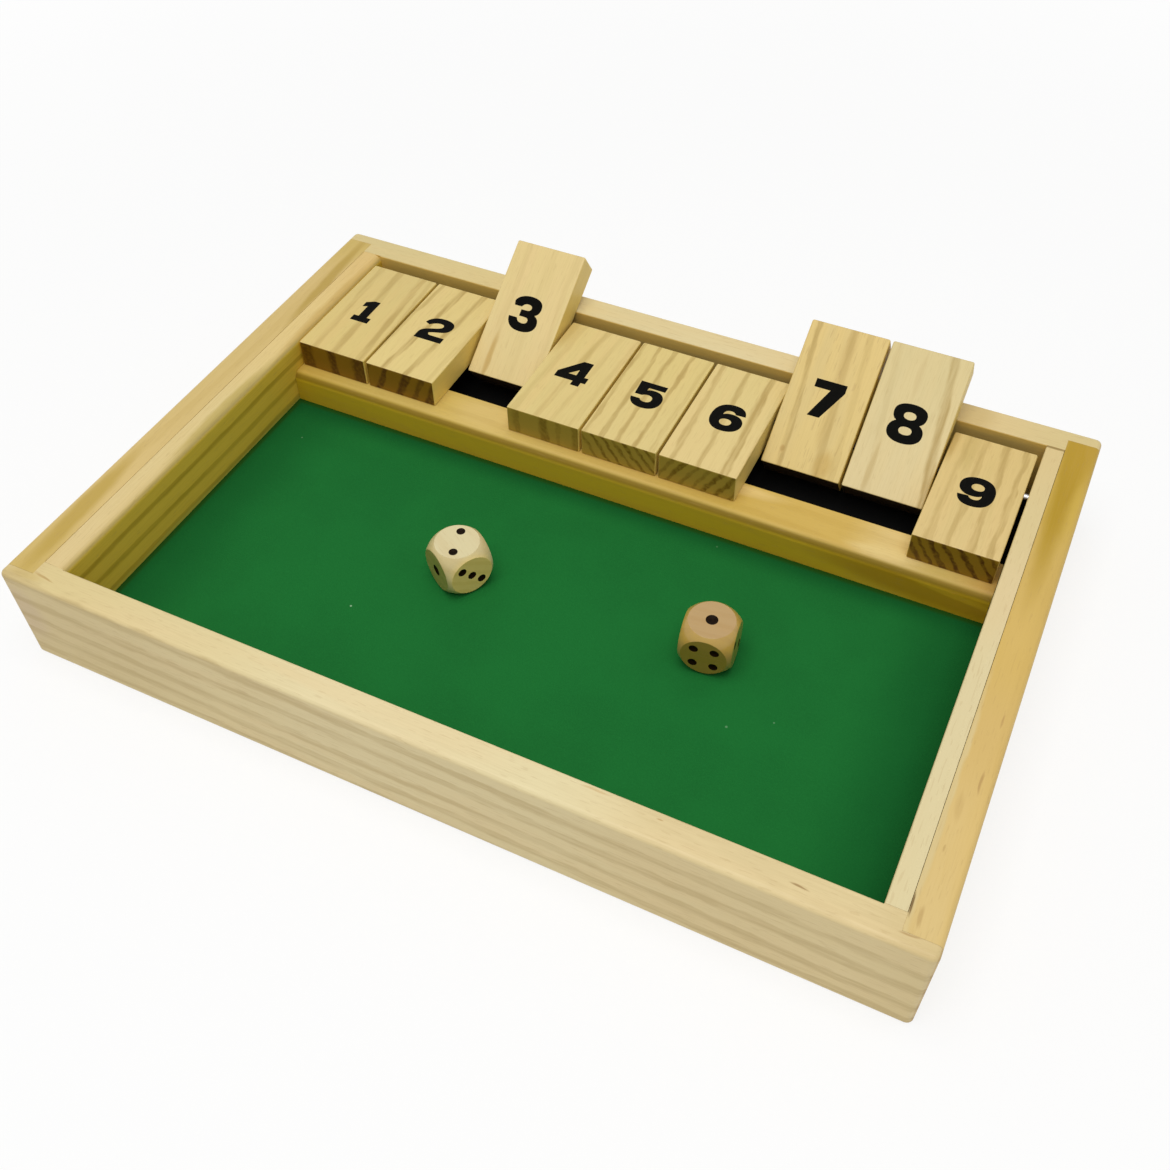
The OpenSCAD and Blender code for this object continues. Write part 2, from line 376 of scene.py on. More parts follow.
def smoothFaces(piece):
    piece.data.shade_smooth()
    piece.data.set_sharp_from_angle(angle=math.radians(sharpAngle))
    evened = piece.modifiers.new("evened", "WEIGHTED_NORMAL")
    evened.keep_sharp = True
    evened.weight = 80


def roundBar(name, centre, radius, length, chamfer=0.0):
    # a round bar along X
    shape = bmesh.new()
    bmesh.ops.create_cone(shape, cap_ends=True, segments=40, radius1=radius, radius2=radius, depth=length)
    if chamfer:
        roundEdges(shape, chamfer, 2, lambda m, way: level(way))
    turned = Matrix.Translation(centre) @ Matrix.Rotation(math.pi / 2, 4, "Y")
    bmesh.ops.transform(shape, matrix=turned, verts=shape.verts)
    return addObject(name, shape)


# boards of the box

frontLow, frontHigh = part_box("front_rail")
backLow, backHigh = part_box("back_rail")
leftLow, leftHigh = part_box("left_wall")
rightLow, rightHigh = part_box("right_wall")
panelLow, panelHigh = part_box("base_panel")
rodLow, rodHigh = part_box("pivot_rod")
leftLinerLow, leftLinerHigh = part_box("left_liner")
rightLinerLow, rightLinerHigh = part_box("right_liner")
rodAxis = (rodLow + rodHigh) / 2
rodRadius = (rodHigh.z - rodLow.z) / 2
top = frontHigh.z
grooveRoom = 0.1 * mm
rabbetRoom = 0.05 * mm  # between a wall's end and the rabbet that takes it
rodPlay = 0.02 * mm
cutterPast = 10 * mm  # how much longer than the rod its cutter is
endRoom = 0.15 * mm  # how much closer the liners and sheets come to their neighbours

acrossBoard = Matrix.Identity(3)  # grain along X
deepBoard = Matrix.Rotation(math.pi / 2, 3, "Z")  # grain along Y, front to back

# radii in millimetres
boxEdges = {"outer": 1.6, "inner": 0.6, "corner": 2.0, "joint": 0.05, "foot": 0.5, "leftLiner": 2.8,
            "dividerNose": 3.2, "panel": 0.2, "sheet": 0.1, "rod": 0.3}

# in each look the side colour is painted light and shade on faces that don't look up, and the nose colour
# painted light and shade on a rounded edge
boardLooks = {
    "front_rail": {
        "tones": [(0.0, (214, 191, 134)), (0.06, (221, 201, 144)), (0.25, (225, 207, 155)),
                  (0.42, (231, 216, 170)), (0.63, (230, 215, 168)), (0.76, (227, 206, 155)),
                  (0.92, (229, 208, 156)), (1.0, (218, 195, 140))],
        "late": (180, 156, 104), "depth": 0.5, "side": (216, 196, 144), "sideShadeShare": 0.55,
        "warm": (230, 202, 150), "broken": 0.6,
        "rings": [(4.2, 0.85, 4.4), (11.4, 0.9, 4.4), (18.6, 0.95, 4.6), (27.2, 0.95, 4.6),
                  (35.0, 0.95, 4.4), (44.5, 0.35, 4)],
        "tilt": 84, "drift": 0.034, "wave": 1.0, "wander": 0.8, "seed": 11,
        "marks": [("z", 20, 16, 60, 26, 0, (196, 174, 122), 0.3),
                  ("z", 3, 20, 11, 16, 0, (200, 174, 146), 0.4),
                  ("y", 14, 4.2, 5, 0.6, -0.14, (186, 150, 88), 0.75),
                  ("y", 8, 3.0, 8, 2.2, 0, (204, 178, 110), 0.6),
                  ("y", 245, 4.6, 3.2, 0.45, -0.06, (160, 126, 78), 0.9),
                  ("y", 190, 7.6, 5, 0.6, 0.02, (206, 170, 112), 0.5),
                  ("y", 272, 3.8, 3.5, 0.35, 0.05, (178, 140, 84), 0.7),
                  ("y", 208, 7.2, 1.2, 0.3, 0, (186, 146, 90), 0.7)]},
    "back_rail": {
        "tones": [(0.0, (214, 195, 138)), (0.2, (219, 198, 138)), (0.37, (223, 204, 150)),
                  (0.6, (226, 207, 156)), (0.87, (222, 198, 142)), (1.0, (216, 196, 138))],
        "rings": [(3, 0.7, 4), (10, 0.8, 5), (19, 0.6, 4), (27, 0.8, 5), (42, 0.3, 4)],
        "side": (232, 190, 90), "sideShadeShare": 0.9, "sideShadeSign": -1, "sideShadeFacing": (0.75, 0.98),
        "late": (190, 164, 104), "depth": 0.5, "tilt": 78, "drift": -0.02, "seed": 23,
        # the mark at 238 is a painted shadow beside the raised tile 8
        "marks": [("y", 238, 5, 12, 14, 0, (196, 170, 110), 0.55)]},
    "left_wall": {
        "tones": [(0.0, (206, 178, 102)), (0.2, (216, 188, 122)), (0.5, (211, 184, 117)),
                  (0.85, (212, 184, 118)), (1.0, (202, 175, 96))],
        "warm": (214, 186, 122),
        "rings": [(2.5, 0.6, 2), (6.5, 0.5, 3), (11, 0.6, 3), (17, 0.8, 3), (24, 0.7, 3), (31, 0.8, 3)],
        "late": (190, 160, 84), "depth": 0.3, "tilt": 32, "drift": 0.012, "wave": 1.6, "seed": 37,
        "marks": [("y", 26, 4.8, 38, 4.2, 0.05, (188, 158, 72), 0.9),
                  ("y", 158, 2.1, 38, 2.6, 0.05, (178, 148, 64), 0.85)]},
    "right_wall": {
        "tones": [(0.0, (220, 192, 128)), (0.15, (220, 190, 123)), (0.33, (214, 181, 109)),
                  (0.5, (213, 179, 98)), (0.7, (206, 173, 90)), (0.85, (201, 168, 68)),
                  (1.0, (189, 154, 50))],
        "warm": (218, 184, 106),
        "rings": [(6, 0.5, 3), (10, 0.6, 3), (16, 0.7, 3), (24, 0.7, 3), (31, 0.8, 3)],
        "late": (196, 162, 88), "depth": 0.25, "tilt": 28, "drift": -0.016, "wave": 1.8, "seed": 41,
        "marks": [("y", 180, 6.3, 84, 4.8, 0, (177, 142, 28), 1.0),
                  ("y", 188, 4.5, 32, 8, 0, (182, 146, 34), 0.9),
                  ("y", 35, 9.6, 60, 1.5, 0, (220, 201, 148), 0.8),
                  ("y", 47, 3.4, 5, 0.5, 0.04, (184, 148, 88), 0.8),
                  ("y", 68, 3.2, 3, 0.5, -0.04, (190, 152, 90), 0.7),
                  ("y", 5, 7, 4, 0.8, 0, (190, 158, 98), 0.7),
                  ("y", 25, 6.8, 1.6, 0.5, 0, (190, 158, 96), 0.7),
                  ("y", 38, 6.8, 6, 1.2, 0.08, (204, 172, 106), 0.6),
                  ("y", 7.5, 9.7, 4.5, 0.5, 0, (84, 56, 26), 0.9)]},
    "left_liner": {
        "tones": [(0.0, (222, 198, 142)), (0.4, (222, 200, 141)), (0.75, (226, 199, 132)),
                  (1.0, (221, 189, 121))],
        "warm": (220, 192, 128), "late": (166, 132, 10), "depth": 0.66, "side": (238, 200, 62),
        "sideShadeShare": 0.92, "sideShadeFacing": (0.2, 0.9), "nose": ((180, 160, 107), 0.6),
        "noseShadeFacing": (0.5, 0.8), "rings": [(2.2, 0.9, 2.4), (8.4, 1.0, 2.6), (15.3, 1.0, 2.6)],
        "tilt": 84, "wave": 0.5, "wander": 0.25, "seed": 53,
        "marks": [("y", 78, 1.2, 34, 2.6, 0, (186, 164, 84), 0.7),
                  ("y", 140, 0.8, 40, 2.6, 0, (196, 162, 88), 0.6),
                  # the z mark at the foot of the inner face is a painted reflection of the green cloth
                  ("z", 87, 0.3, 120, 3.2, 0, (172, 184, 84), 0.6)]},
    "right_liner": {
        "tones": [(0.0, (223, 208, 161)), (0.45, (223, 207, 160)), (0.6, (224, 203, 154)),
                  (0.8, (219, 199, 145)), (1.0, (220, 196, 139))],
        "depth": 0.3, "fibre": 0.05, "warmShare": 0.1, "rings": [(3, 0.8, 3), (9, 0.7, 3), (16, 0.8, 3)],
        "side": (212, 186, 108), "sideShadeShare": 0.6, "tilt": 84, "wave": 0.5, "seed": 59,
        "marks": [("y", 173.8, 2.8, 0.8, 6, 0, (140, 112, 52), 0.85)]},
    # the divider's tones along it and its pale top marks at 73 and 213 are partly its own wood and partly
    # painted light: lighter where the raised tiles 3 and 8 leave the top open, darker as painted shade under
    # the flat tiles; its dark nose is painted shade
    "divider_rail": {
        "tones": [(0.0, (200, 166, 74)), (0.12, (208, 180, 94)), (0.3, (210, 183, 102)),
                  (0.5, (207, 175, 92)), (0.65, (204, 171, 80)), (0.8, (209, 175, 88)),
                  (0.87, (224, 197, 130)), (0.93, (208, 181, 102)), (1.0, (198, 160, 82))],
        "late": (176, 138, 50), "depth": 0.3, "warm": (216, 182, 98), "side": (206, 172, 30),
        "sideShadeShare": 0.92, "sideShadeFacing": (0.66, 1.0), "nose": ((132, 106, 12), 0.95),
        "rings": [(2, 0.5, 3), (8, 0.5, 4), (14, 0.6, 3), (20, 0.5, 3)], "tilt": 40, "drift": 0.02,
        "wave": 1.6, "seed": 67,
        "marks": [("y", 73, 9, 17, 9, 0, (217, 188, 114), 0.8),
                  ("y", 158, 12, 26, 3.6, 0.02, (232, 202, 130), 0.85),
                  ("y", 213, 4.5, 15, 3.4, 0.05, (228, 202, 134), 0.8),
                  ("z", 228, 6, 46, 7, -0.06, (176, 134, 16), 0.85),
                  ("z", 236, 8.2, 26, 1.6, -0.13, (216, 178, 44), 0.5)]},
}


def boardOf(node, turn):
    low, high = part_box(node)
    start = low.copy()
    if turn is deepBoard:
        start.x = high.x
    size = (high - low) / mm
    return {"start": start, "turn": turn, "size": size if turn is acrossBoard else size.yxz}


def dressBoard(piece, node, slot, body="box"):
    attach(piece, body)
    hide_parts(node)


def addBoard(node, shape, turn):
    wood = woodMaterial(node + "_wood", boardLooks[node], boardOf(node, turn))
    return addObject(node + "_board", shape, wood)


def panelCutter():
    room = Vector((grooveRoom, grooveRoom, 0))
    return addObject("cutter", boxMesh(panelLow - room, panelHigh + room + Vector((0, 0, grooveRoom))))


def rodCutter(radius):
    return roundBar("cutter", rodAxis, radius, rodHigh.x - rodLow.x + cutterPast)


def makeRail(node, slot, outerY, innerY, wallEndY):
    # outline seen from above, with a rabbet at each end that takes the wall
    half, shoulder = frontHigh.x, leftHigh.x
    outline = [(-half, outerY), (half, outerY), (half, wallEndY), (-shoulder, wallEndY), (-shoulder, innerY),
               (shoulder, innerY), (shoulder, wallEndY), (-half, wallEndY)]
    shape = bmesh.new()
    face = shape.faces.new([shape.verts.new((x, y, 0)) for x, y in outline])
    grown = bmesh.ops.extrude_face_region(shape, geom=[face])
    raised = [part for part in grown["geom"] if isinstance(part, bmesh.types.BMVert)]
    bmesh.ops.translate(shape, vec=(0, 0, top), verts=raised)
    # the inner edge stays sharp where the liners butt
    for x in (leftLinerHigh.x, leftLinerHigh.x - endRoom, rightLinerLow.x, rightLinerLow.x + endRoom):
        cutPlane(shape, (x, 0, 0), (1, 0, 0))
    corner = boxEdges["corner"] * mm
    inTray = lambda m: leftLinerHigh.x < m.x < rightLinerLow.x
    inBorder = lambda m: abs(m.x) > half - corner or abs(m.y - outerY) < corner
    outside = lambda m, way, z: near(m.z, z) and level(way) and inBorder(m) and not near(m.y, wallEndY)
    roundEdges(shape, boxEdges["corner"], 5,
               lambda m, way: runs(way, "z") and near(abs(m.x), half) and near(m.y, outerY))
    roundEdges(shape, boxEdges["outer"], 5, lambda m, way: outside(m, way, top))
    roundEdges(shape, boxEdges["foot"], 2, lambda m, way: outside(m, way, 0))
    roundEdges(shape, boxEdges["inner"], 4, lambda m, way: near(m.z, top) and near(m.y, innerY) and inTray(m))
    made = addBoard(node, shape, acrossBoard)
    carve(made, [panelCutter()])
    smoothFaces(made)
    dressBoard(made, node, slot)


makeRail("front_rail", "front_wood", frontLow.y, frontHigh.y, leftLow.y - rabbetRoom)
makeRail("back_rail", "pale_wood", backHigh.y, backLow.y, leftHigh.y + rabbetRoom)


def makeWall(node, outerX, innerX):
    low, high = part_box(node)
    shape = boxMesh(low, high)
    along = lambda m, way, x, z: runs(way, "y") and near(m.x, x) and near(m.z, z)
    roundEdges(shape, boxEdges["outer"], 5, lambda m, way: along(m, way, outerX, top))
    roundEdges(shape, boxEdges["joint"], 1, lambda m, way: along(m, way, innerX, top))
    roundEdges(shape, boxEdges["foot"], 2,
               lambda m, way: along(m, way, outerX, 0) or along(m, way, innerX, 0))
    made = addBoard(node, shape, deepBoard)
    carve(made, [panelCutter()])
    smoothFaces(made)
    dressBoard(made, node, "yellow_wood")


makeWall("left_wall", leftLow.x, leftHigh.x)
makeWall("right_wall", rightHigh.x, rightLow.x)


def makeLiner(node, wallX, trayX, noseRadius):
    low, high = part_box(node)
    low.y, high.y = low.y - endRoom, high.y + endRoom
    shape = boxMesh(low, high)
    roundEdges(shape, noseRadius, 8,
               lambda m, way: runs(way, "y") and near(m.x, trayX) and near(m.z, top))
    roundEdges(shape, boxEdges["joint"], 1, lambda m, way: runs(way, "y") and near(m.x, wallX))
    made = addBoard(node, shape, deepBoard)
    carve(made, [rodCutter(rodRadius + rodPlay)])
    smoothFaces(made)
    dressBoard(made, node, "pale_wood")


makeLiner("left_liner", leftLinerLow.x, leftLinerHigh.x, boxEdges["leftLiner"])
makeLiner("right_liner", rightLinerHigh.x, rightLinerLow.x, boxEdges["inner"])

dividerLow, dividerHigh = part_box("divider_rail")
shape = boxMesh(dividerLow, dividerHigh)
roundEdges(shape, boxEdges["dividerNose"], 10,
           lambda m, way: runs(way, "x") and near(m.y, dividerLow.y) and near(m.z, dividerHigh.z))
roundEdges(shape, boxEdges["inner"], 3,
           lambda m, way: runs(way, "x") and near(m.y, dividerHigh.y) and near(m.z, dividerHigh.z))
divider = addObject("divider_board", shape,
                    woodMaterial("divider_wood", boardLooks["divider_rail"],
                                 boardOf("divider_rail", acrossBoard)))
smoothFaces(divider)
dressBoard(divider, "divider_rail", "yellow_wood")
print("box boards made")


# floor panel, green sheet, black lining

panelLook = {"tones": [(0.0, (214, 188, 132)), (1.0, (208, 180, 122))], "late": (176, 138, 80), "depth": 0.5,
             "rings": [(28 * k + 4 * math.sin(5 * k), 0.6 + 0.3 * math.sin(3 * k), 12) for k in range(7)],
             "wave": 7, "wander": 0.8, "tilt": 0, "fibre": 0.35, "pores": 0.6, "rough": 0.62, "seed": 71}
panel = addObject("floor_panel", boxMesh(panelLow, panelHigh),
                  woodMaterial("panel_wood", panelLook, boardOf("base_panel", acrossBoard)))
eased = panel.modifiers.new("eased", "BEVEL")
eased.width, eased.segments = boxEdges["panel"] * mm, 2
smoothFaces(panel)
dressBoard(panel, "base_panel", "panel_wood")

feltLook = {"green": (24, 107, 45), "deep": (19, 92, 38), "fresh": (31, 118, 52), "lint": (150, 190, 150),
            # painted shade along the edges, and at the foot a painted shade with the wood's reflected colour
            "paintedBorderShade": (0, 62, 25), "foot": (29, 65, 0),
            # lint on the cloth, in millimetres from its front left corner: across, deep, size, share
            "specks": [(70.0, 38.7, 0.45, 0.9), (12.5, 96.7, 0.4, 0.4), (190.8, 45.9, 0.5, 0.35),
                       (162.5, 109.5, 0.4, 0.3), (202.5, 52.9, 0.35, 0.35)]}
clothNoise = {"cloud": (26, 26, 26), "grit": (0.35, 0.35, 0.35), "hair": (2.4, 0.3, 0.3)}
# millimetres from the sheet's edge where its painted shade is full, and where it ends
clothShadeReach = {"sides": (3, 30), "ends": (-2, 11), "foot": (0.6, 2.4)}
sideShadeStrength = 0.53  # strength of the painted shade at the sides, against 1 at the front and back


def feltMaterial(name, look, low, high):
    paint = newRecipe(name)
    place = paint.objectPlace()
    cloud = paint.steps(paint.noise(place, clothNoise["cloud"], 3, 3), 0.35, 0.65)
    grit = paint.noise(place, clothNoise["grit"], 5, 3)
    hair = paint.noise(place, clothNoise["hair"], 7, 1)
    tone = paint.mix(cloud * 0.35, rgb(*look["green"]), rgb(*look["deep"]))
    tone = paint.mix(paint.steps(grit, 0.35, 0.7) * 0.35, tone, rgb(*look["fresh"]))
    tone = paint.mix(paint.steps(hair, 0.62, 0.75) * 0.25, tone, rgb(*look["fresh"]))
    # painted shade: darker towards the edges, and at the foot of the left and back boards a darker painted
    # reflection of the wood's colour
    x, y = paint.split(place)[:2]
    left, back = x - low.x / mm, high.y / mm - y
    across = left.math("MINIMUM", high.x / mm - x)
    deep = back.math("MINIMUM", y - low.y / mm)
    for spotX, spotY, size, share in look["specks"]:
        aside, ahead = x - (low.x / mm + spotX), y - (low.y / mm + spotY)
        speck = 1 - paint.steps((aside * aside + ahead * ahead).math("SQRT"), size * 0.4, size)
        tone = paint.mix(speck * share, tone, rgb(*look["lint"]))
    inward = paint.steps(across, *clothShadeReach["sides"]) * sideShadeStrength + (1 - sideShadeStrength)
    paintedBorderShade = 1 - inward * paint.steps(deep, *clothShadeReach["ends"])
    tone = paint.mix(paintedBorderShade * 0.75, tone, rgb(*look["paintedBorderShade"]))
    foot = 1 - paint.steps(left.math("MINIMUM", back), *clothShadeReach["foot"])
    tone = paint.mix(foot * 0.8, tone, rgb(*look["foot"]))
    shader = paint.node("BsdfPrincipled", {}, {
        "Base Color": tone, "Roughness": grit * 0.1 + 0.88, "Specular IOR Level": 0.12,
        "Normal": paint.bump(grit + hair * 0.5, 0.0002, 0.35)})
    return paint.finish(shader)


# the same painted shade along the edges and at the foot, on the black lining
blackLook = {"green": (9, 9, 9), "deep": (6, 6, 6), "fresh": (14, 14, 14), "paintedBorderShade": (4, 4, 4),
             "foot": (3, 3, 3), "specks": []}
for name, node, slot, look in (("green_sheet", "play_surface", "green_felt", feltLook),
                               ("black_sheet", "pit_lining", "black_lining", blackLook)):
    low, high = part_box(node)
    grown = Vector((endRoom, endRoom, 0))
    shape = boxMesh(low - grown, high + grown)
    roundEdges(shape, boxEdges["sheet"], 2, lambda m, way: level(way))
    sheet = addObject(name, shape, feltMaterial(slot + "_cloth", look, low, high))
    smoothFaces(sheet)
    dressBoard(sheet, node, slot)


# steel rod

paint = newRecipe("drawn_steel")
place = paint.objectPlace()
drawn = paint.noise(place, (30, 0.12, 0.12), 2, 3)
dull = paint.noise(place, (6, 2, 2), 4, 2)
# the rod is bright steel beyond the last tile; between the tiles it is a dark painted shade, rough and not
# metallic, which hides its glints there
along = paint.split(place)[0]
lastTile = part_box("tile_9")[1].x / mm
unshadedSteel = paint.steps(along, lastTile - 1, lastTile)
bright = paint.mix(paint.steps(dull, 0.3, 0.7), rgb(214, 215, 216), rgb(190, 191, 192))
steel = paint.finish(paint.node("BsdfPrincipled", {}, {
    "Base Color": paint.mix(unshadedSteel, rgb(46, 42, 34), bright), "Metallic": unshadedSteel,
    "Roughness": drawn * 0.15 + dull * 0.12 + (0.66 - unshadedSteel * 0.5),
    "Normal": paint.bump(drawn, 0.00003, 0.3)}))
rod = roundBar("steel_rod", rodAxis, rodRadius, rodHigh.x - rodLow.x, boxEdges["rod"])
rod.data.materials.append(steel)
smoothFaces(rod)
dressBoard(rod, "pivot_rod", "rod_steel")
print("sheets and rod made")


# tiles

joints = {joint["child"]: joint for joint in frame["joints"]}
flatLow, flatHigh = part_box("tile_1")
tileSize = flatHigh - flatLow
tilePivot = Vector(joints["tile_1"]["pos_m"])
pivotInTile = tilePivot - flatLow  # x is the middle of the tile
tileEdges = {"corner": 0.6, "edge": 0.45, "bore": 0.08}  # radii and the bore's play in millimetres

darkEnds = {"end": (134, 96, 14), "endLate": (78, 42, 0)}
paleEnds = {"end": (164, 136, 50), "endLate": (112, 84, 8)}
# stripes as seen on the printed face, from the left edge: place, strength, width
tileLooks = {
    1: {"tones": [(0, (215, 192, 123)), (1, (219, 195, 123))],
        "rings": [(3.4, 0.5, 3), (11.3, 0.7, 4), (21.0, 0.8, 3.2), (24.4, 0.45, 2)],
        "endRings": [(2.4, 0.8, 6), (12.8, 1, 4.5), (23.6, 0.9, 7)], "tilt": 4, "drift": -0.06,
        "warm": (222, 190, 122), "wander": 0.4, **darkEnds},
    2: {"tones": [(0, (222, 198, 128)), (1, (225, 202, 132))],
        "rings": [(2.4, 0.8, 2.2), (10.8, 1.0, 3), (19.2, 0.95, 3), (27.4, 0.3, 2.4)],
        "endRings": [(1, 0.6, 3), (8.4, 1, 3), (16.6, 1, 4), (22.4, 0.7, 2.6), (28, 0.9, 4)], "tilt": -24,
        "drift": 0.06, "warm": (226, 196, 132), "wander": 0.5, **darkEnds},
    3: {"tones": [(0, (226, 204, 143)), (1, (227, 203, 139))],
        "rings": [(5.4, 0.2, 3), (15, 0.12, 4), (24, 0.2, 3)],
        "endRings": [(2, 0.7, 2.2), (7, 0.9, 2.2), (12.4, 0.8, 2.6), (18, 0.9, 2.2), (23.4, 0.8, 2.4)],
        "tilt": 12, "warm": (230, 200, 142), "wander": 0.5,
        "marks": [("y", 7, 5.9, 12, 1.5, 0, (198, 164, 92), 0.8)]},
    4: {"tones": [(0, (222, 199, 131)), (1, (220, 198, 130))],
        "rings": [(5.2, 0.3, 3), (13.9, 0.4, 3), (19.6, 0.25, 2.4), (26, 0.25, 2.4)],
        "endRings": [(3.2, 0.5, 3.4), (13.4, 0.75, 4), (18.6, 0.4, 2.2), (25, 0.6, 3)], "tilt": 3,
        "drift": 0.06, "warm": (228, 196, 130), "wander": 0.5, **paleEnds,
        "marks": [("y", 14, 12.8, 20, 1.8, -0.06, (198, 172, 102), 0.5),
                  ("y", 2, 1.2, 20, 3.4, 0, (192, 165, 96), 0.65)]},
    5: {"tones": [(0, (221, 198, 127)), (1, (221, 199, 132))],
        "rings": [(0.8, 0.85, 2), (6.9, 0.85, 2.2), (12.4, 0.85, 2.4), (18.8, 0.95, 2.2),
                  (24.9, 0.4, 2.2)],
        "endRings": [(-1.5, 0.7, 1.8), (3, 0.9, 2), (7.2, 0.9, 2), (11, 0.8, 1.8), (14.8, 0.95, 2.2),
                     (19, 0.9, 2), (23, 0.9, 2)],
        "tilt": 37, "warm": (226, 198, 128), "wander": 0.6, "wave": 0.5, **paleEnds},
    6: {"tones": [(0, (222, 200, 133)), (1, (225, 201, 137))],
        "rings": [(2.6, 0.7, 2.6), (11.5, 0.75, 2.8), (20.3, 1.0, 3.4), (25.2, 0.35, 1.6)],
        "endRings": [(5.4, 0.6, 2), (9.2, 0.95, 2.4), (13.6, 0.6, 2), (17.8, 0.5, 2), (21.6, 1, 2.8),
                     (26.2, 0.95, 2.4), (30.5, 0.7, 2)],
        "tilt": -32, "drift": -0.03, "warm": (228, 198, 134), "wander": 0.5, "side": (212, 190, 98),
        **paleEnds},
    7: {"tones": [(0, (223, 196, 124)), (1, (224, 195, 122))],
        "rings": [(6.2, 0.8, 2.4), (18.3, 0.5, 3), (23.6, 0.35, 3)],
        "endRings": [(0, 0.8, 2), (4, 0.9, 2.2), (9.4, 0.8, 2.2), (14.6, 0.9, 2.4), (20, 0.8, 2.2),
                     (25, 0.9, 2)],
        "tilt": 14, "drift": 0.065, "warm": (214, 190, 126), "warmShare": 0.5, "pores": 0.25,
        "marks": [("y", 40, 15, 18, 2.8, 0, (206, 176, 106), 0.75),
                  ("y", 18, 16.5, 14, 3, 0, (206, 176, 104), 0.6),
                  ("y", 4, 19.5, 7, 4.4, 0, (202, 168, 88), 0.8),
                  ("y", 6, 5.4, 1.6, 1, 0, (184, 146, 78), 0.7)],
        "wander": 0.5},
    8: {"tones": [(0, (223, 203, 149)), (1, (216, 197, 140))], "rings": [(8, 0.2, 3), (26.1, 1.0, 3.8)],
        "endRings": [(1, 0.8, 1.8), (5.2, 0.8, 2), (10, 0.8, 2), (15.4, 0.8, 2.2), (21.2, 1.0, 3),
                     (26.4, 0.8, 2)],
        "tilt": 16, "drift": 0.11, "warm": (226, 202, 142), "wander": 0.5, "wave": 0.2,
        "marks": [("y", 8, 6.9, 12, 1.4, 0, (198, 172, 112), 0.65),
                  ("y", 41, 11.6, 11, 1.3, 0, (206, 182, 124), 0.5)]},
    9: {"tones": [(0, (216, 190, 122)), (1, (220, 194, 131))],
        "rings": [(4.5, 0.5, 3), (10.4, 0.65, 2.8), (17, 0.8, 3), (23.3, 0.75, 2.6)],
        "endRings": [(-2.5, 0.9, 2.2), (1.2, 0.9, 2.2), (5, 1, 2.4), (9.4, 1, 2.4), (14.2, 1, 2.6),
                     (19.4, 1, 2.4), (24, 0.8, 2)],
        "tilt": 36, "warm": (228, 196, 132), "wander": 0.6, "wave": 0.5, "end": (142, 108, 22),
        "endLate": (82, 48, 2),
        "marks": [("y", 6, 7, 16, 3, 0, (200, 174, 106), 0.6),
                  ("y", 4, 1.0, 14, 1.8, 0, (184, 154, 86), 0.7)]},
}
# the side colour is painted light on the tiles' side faces, and the back-end colour a painted shade
tileBasics = {"late": (168, 138, 70), "depth": 0.72, "wave": 0.3, "end": (172, 138, 68),
              "endLate": (124, 92, 36), "side": (236, 206, 94), "sideShadeShare": 0.6, "pores": 0.12, "fibre": 0.1,
              "tailShade": (52, 38, 18), "broken": 0.6}

